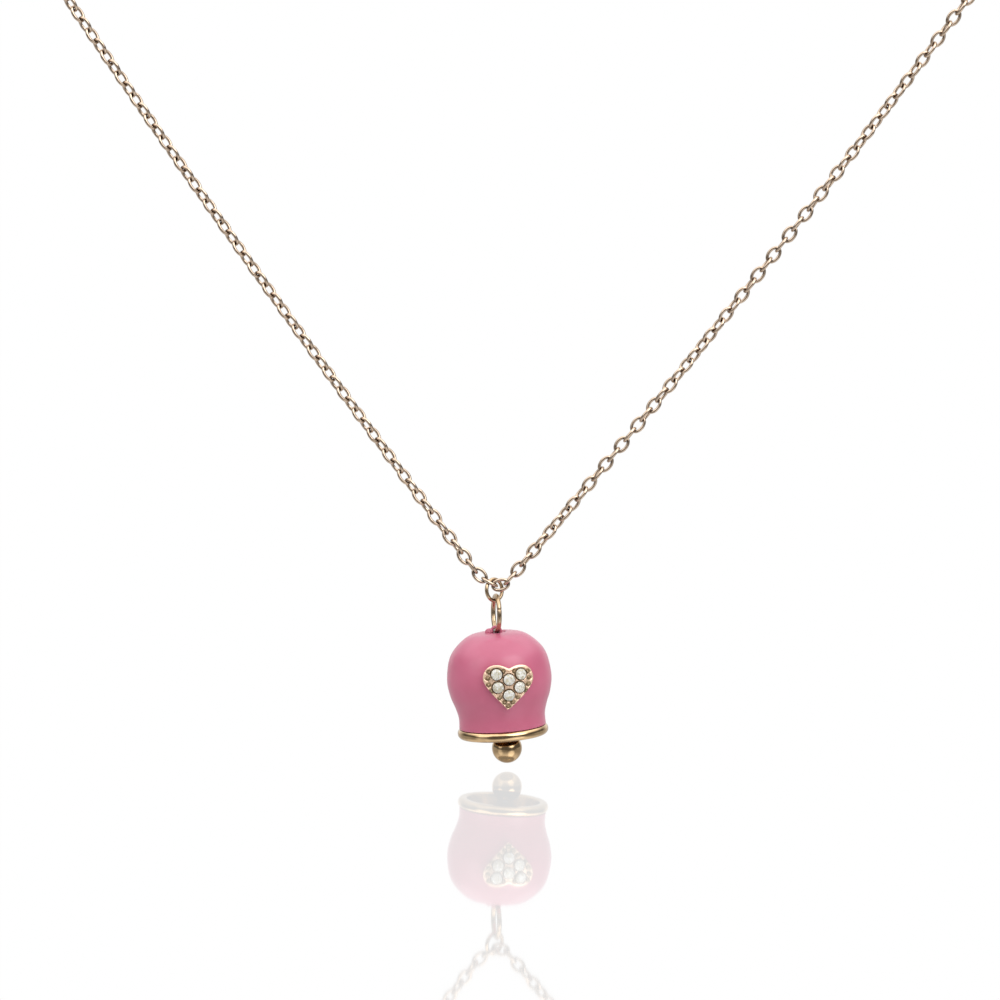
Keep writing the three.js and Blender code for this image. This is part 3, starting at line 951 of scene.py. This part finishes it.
def build_clapper():
    """The stem with its eye, and the ball, along the line from the hinge to the ball's centre."""
    foot = hinge_point(hinge_of["clapper"])
    centre = box_centre("clapper_ball")
    up = (foot - centre).normalized()
    sideways = (bell_x - up * bell_x.dot(up)).normalized()
    placing = basis(sideways, up.cross(sideways), up, centre)
    reach = (foot - centre).length / MM
    eye_centre = reach + CLAPPER_RING_WIRE + CLAPPER_EYE_WIRE + GAP - CLAPPER_EYE_RADIUS
    stem_top = eye_centre - CLAPPER_EYE_RADIUS
    eye = upright(wire_loop(CLAPPER_EYE_RADIUS, CLAPPER_EYE_RADIUS, CLAPPER_EYE_WIRE, 40, 14))
    eye = moved(eye, Matrix.Translation((0, 0, eye_centre)))
    seat = BALL_RADIUS + GAP
    profile = [
        (0, seat),
        (STEM_RADIUS + 0.1, seat),
        (STEM_RADIUS, seat + 0.2),
        (STEM_RADIUS - 0.02, stem_top - 0.3),
        (STEM_RADIUS - 0.06, stem_top),
        (0, stem_top + 0.08),
    ]
    stem = joined([eye, turned(profile, 40)])
    piece = add_piece("clapper_stem", stem, placing, [GOLD], "clapper")
    smooth_union(piece, 0.03, 3)
    ball = ball_shape(BALL_RADIUS, BALL_SEAT)
    add_piece("clapper_ball", ball, placing, [GOLD], "clapper")


build_staple()
build_clapper_ring()
build_clapper()

# Stage, light and camera -----------------------------------------------------------------------------

FLOOR_LEVEL = -0.5 * MM  # the bell hangs just clear of the floor
FRAME_WIDTH = 106.2 * MM  # what the camera takes in at the object
CAMERA_DISTANCE = 0.6
CAMERA_ELEVATION = math.radians(7)
AIM = box_centre("centre_link") + Vector((-0.07 * MM, 0, 9.1 * MM))  # a little above the V's foot


def build_floor():
    """A pale glossy floor that mirrors the bell faintly and is clear when it is seen from below."""

    def build(n):
        paths = n.add("ShaderNodeLightPath")
        surface = n.add("ShaderNodeNewGeometry").outputs
        y = n.add("ShaderNodeSeparateXYZ", {0: surface["Position"]}).outputs[1]
        in_front = n.smooth(n.math("MULTIPLY", y, -1.0), 0.0, 0.02, 0.55, 0.12)
        seen = n.math("MAXIMUM", in_front, n.math("MULTIPLY", paths.outputs["Is Diffuse Ray"], 0.5))
        seen = n.math("MAXIMUM", seen, paths.outputs["Is Camera Ray"])
        pale = n.add("ShaderNodeEmission", {"Color": (1, 1, 1), "Strength": seen})
        gloss = n.add("ShaderNodeBsdfGlossy", {"Color": (1, 1, 1), "Roughness": 0.03})
        top = n.add("ShaderNodeMixShader", {0: 0.3, 1: pale.outputs[0], 2: gloss.outputs[0]})
        clear = n.add("ShaderNodeBsdfTransparent")
        both = {0: surface["Backfacing"], 1: top.outputs[0], 2: clear.outputs[0]}
        return n.add("ShaderNodeMixShader", both).outputs[0]

    size = 3.0
    mesh = bpy.data.meshes.new("floor")
    corners = [(-size, -size), (size, -size), (size, size), (-size, size)]
    mesh.from_pydata([(x, y, FLOOR_LEVEL) for x, y in corners], [], [(0, 1, 2, 3)])
    mesh.materials.append(new_material("floor", build))
    floor = bpy.data.objects.new("floor", mesh)
    bpy.context.scene.collection.objects.link(floor)


def patch(n, direction, way, inner, outer):
    """How far a direction lies inside a soft round patch of sky, from 0 outside to 1 at its middle."""
    dot = n.add("ShaderNodeVectorMath", {0: direction, 1: Vector(way).normalized()}, operation="DOT_PRODUCT")
    low = math.cos(math.radians(outer))
    high = math.cos(math.radians(inner))
    return n.smooth(dot.outputs["Value"], low, high)


def build_world():
    """A studio, white behind and bright above. Metal and enamel mirror a dark room in front, with a key lamp
    at the upper right and a small lamp at the left; the even light that fills the shadows is softer."""
    world = bpy.data.worlds.new("studio")
    bpy.context.scene.world = world
    world.use_nodes = True
    n = Nodes(world.node_tree)
    direction = n.add("ShaderNodeTexCoord").outputs["Generated"]
    parts = n.add("ShaderNodeSeparateXYZ", {0: direction}).outputs
    forwards = n.math("MULTIPLY", parts["Y"], -1.0)
    up = parts["Z"]
    key = patch(n, direction, (0.5, -0.62, 0.55), 12, 30)
    fill = patch(n, direction, (-0.75, -0.5, 0.4), 6, 24)

    room = n.math("ADD", 0.13, n.smooth(up, 0.32, 0.8, 0.0, 1.9))
    room = n.math("ADD", room, n.math("MULTIPLY", key, 3.0))
    room = n.math("ADD", room, n.math("MULTIPLY", fill, 1.5))
    mirrored = n.add("ShaderNodeMix", {"Factor": n.smooth(forwards, -0.9, -0.5)}, data_type="FLOAT")
    n.set(mirrored.inputs[2], 1.0)
    n.set(mirrored.inputs[3], room)

    soft = n.math("ADD", 0.42, n.smooth(up, 0.1, 0.65, 0.0, 0.6))
    soft = n.math("ADD", soft, n.math("MULTIPLY", key, 2.4))
    soft = n.math("ADD", soft, n.math("MULTIPLY", fill, 2.2))
    scattered = n.add("ShaderNodeMix", {"Factor": n.smooth(forwards, -0.15, 0.35)}, data_type="FLOAT")
    n.set(scattered.inputs[2], 0.85)
    n.set(scattered.inputs[3], soft)

    paths = n.add("ShaderNodeLightPath").outputs
    strength = n.add("ShaderNodeMix", {"Factor": paths["Is Diffuse Ray"]}, data_type="FLOAT")
    n.set(strength.inputs[2], mirrored.outputs[0])
    n.set(strength.inputs[3], scattered.outputs[0])
    lit = n.add("ShaderNodeBackground", {"Strength": strength.outputs[0]})
    plain = n.add("ShaderNodeBackground", {"Strength": 1.0})
    for background in (lit, plain):
        n.set(background.inputs["Color"], (1, 1, 1))
    mix = n.add("ShaderNodeMixShader", {0: paths["Is Camera Ray"], 1: lit.outputs[0], 2: plain.outputs[0]})
    n.add("ShaderNodeOutputWorld", {"Surface": mix.outputs[0]})


def build_camera():
    data = bpy.data.cameras.new("camera")
    data.sensor_width = 36
    data.lens = 36 * CAMERA_DISTANCE / FRAME_WIDTH
    data.clip_start = 0.01
    data.clip_end = 20
    camera = bpy.data.objects.new("camera", data)
    bpy.context.scene.collection.objects.link(camera)
    away = Vector((0, -math.cos(CAMERA_ELEVATION), math.sin(CAMERA_ELEVATION)))
    camera.location = AIM + away * CAMERA_DISTANCE
    camera.rotation_euler = (-away).to_track_quat("-Z", "Y").to_euler()
    bpy.context.scene.camera = camera


build_floor()
build_world()
build_camera()
bpy.context.scene.view_settings.view_transform = "Standard"
